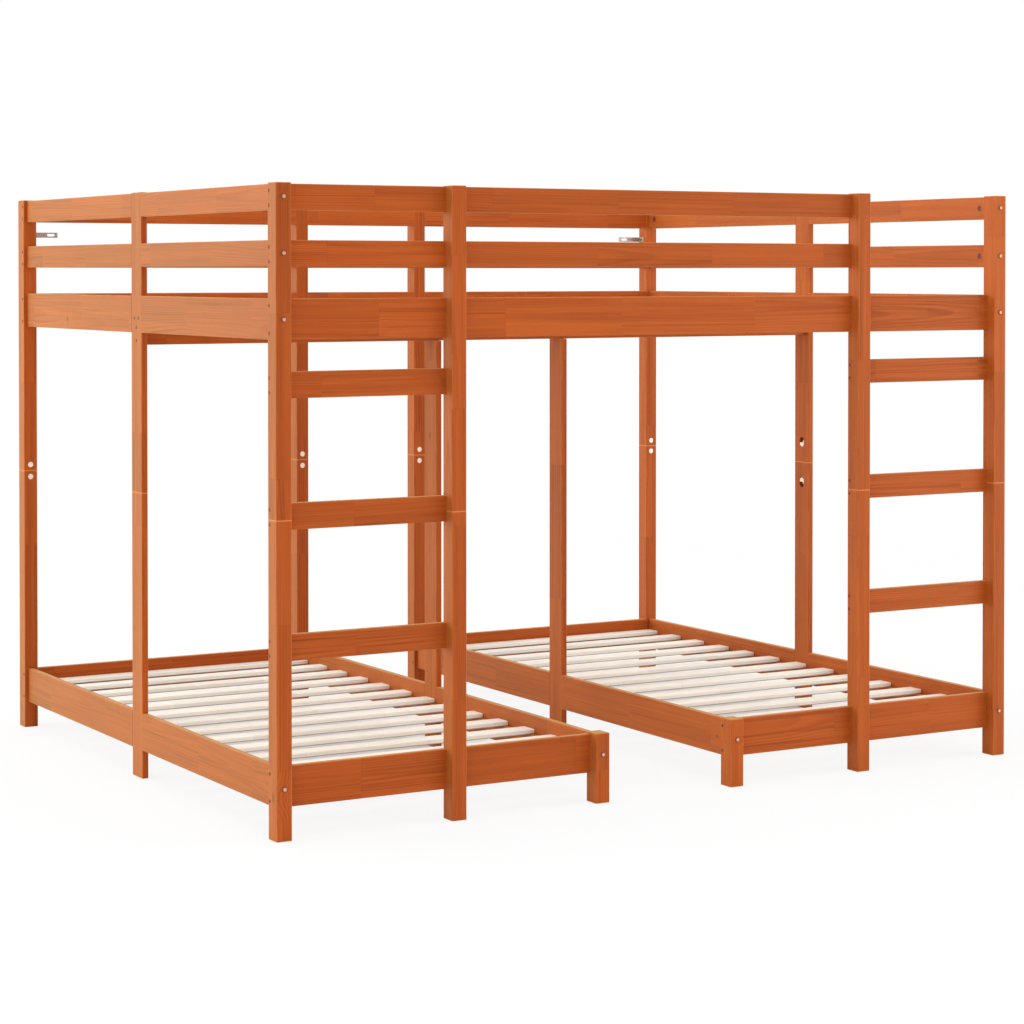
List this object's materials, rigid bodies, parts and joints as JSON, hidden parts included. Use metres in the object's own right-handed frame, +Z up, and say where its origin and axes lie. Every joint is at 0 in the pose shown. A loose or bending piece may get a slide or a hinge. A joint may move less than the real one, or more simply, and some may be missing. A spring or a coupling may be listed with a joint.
{
  "type": "triple bunk bed",
  "caption": "Wooden bunk bed: a wide guarded upper bunk over separate slatted lower beds with an aisle between them, and ladders built into the front corners.",
  "frame": {"origin": "on the floor, midway between the corner posts both ways", "axes": "+X along the front from left to right, +Y from the front to the back, +Z up"},
  "size_m": [2.055, 1.696, 1.44],
  "materials": {
    "stained_pine": "wax-brown stain, satin",
    "plain_pine": "planed, unstained",
    "zinc_steel": "bright zinc plate"
  },
  "bodies": {
    "root": {"back_bunk_rail": "stained_pine", "back_left_corner_post_lower": "stained_pine", "back_left_corner_post_upper": "stained_pine", "back_left_inner_post_lower": "stained_pine", "back_left_inner_post_upper": "stained_pine", "back_mid_guard": "stained_pine", "back_right_corner_post_lower": "stained_pine", "back_right_corner_post_upper": "stained_pine", "back_right_inner_post_lower": "stained_pine", "back_right_inner_post_upper": "stained_pine", "back_top_guard": "stained_pine", "barrel_nuts": "zinc_steel", "bunk_slats": "plain_pine", "centre_beam": "stained_pine", "cross_rail_screws": "zinc_steel", "front_bunk_rail": "stained_pine", "front_left_corner_post_lower": "stained_pine", "front_left_corner_post_upper": "stained_pine", "front_left_ladder_post_lower": "stained_pine", "front_left_ladder_post_upper": "stained_pine", "front_mid_guard": "stained_pine", "front_right_corner_post_lower": "stained_pine", "front_right_corner_post_upper": "stained_pine", "front_right_ladder_post_lower": "stained_pine", "front_right_ladder_post_upper": "stained_pine", "front_top_guard": "stained_pine", "left_bed_back_rail": "stained_pine", "left_bed_front_rail": "stained_pine", "left_bed_inner_rail": "stained_pine", "left_bed_inner_support": "stained_pine", "left_bed_outer_rail": "stained_pine", "left_bed_short_leg": "stained_pine", "left_bed_slats": "plain_pine", "left_bunk_rail": "stained_pine", "left_ladder_high_rung": "stained_pine", "left_ladder_low_rung": "stained_pine", "left_ladder_middle_rung": "stained_pine", "left_mid_guard": "stained_pine", "left_mid_plank_lower": "stained_pine", "left_mid_plank_upper": "stained_pine", "left_top_guard": "stained_pine", "right_bed_back_rail": "stained_pine", "right_bed_front_rail": "stained_pine", "right_bed_inner_rail": "stained_pine", "right_bed_inner_support": "stained_pine", "right_bed_outer_rail": "stained_pine", "right_bed_short_leg": "stained_pine", "right_bed_slats": "plain_pine", "right_bunk_rail": "stained_pine", "right_ladder_high_rung": "stained_pine", "right_ladder_low_rung": "stained_pine", "right_ladder_middle_rung": "stained_pine", "right_mid_guard": "stained_pine", "right_mid_plank_lower": "stained_pine", "right_mid_plank_upper": "stained_pine", "right_top_guard": "stained_pine", "side_rail_bolts": "zinc_steel", "slat_ledgers": "stained_pine", "threaded_studs": "zinc_steel", "wall_straps": "zinc_steel"}
  },
  "joints": []
}
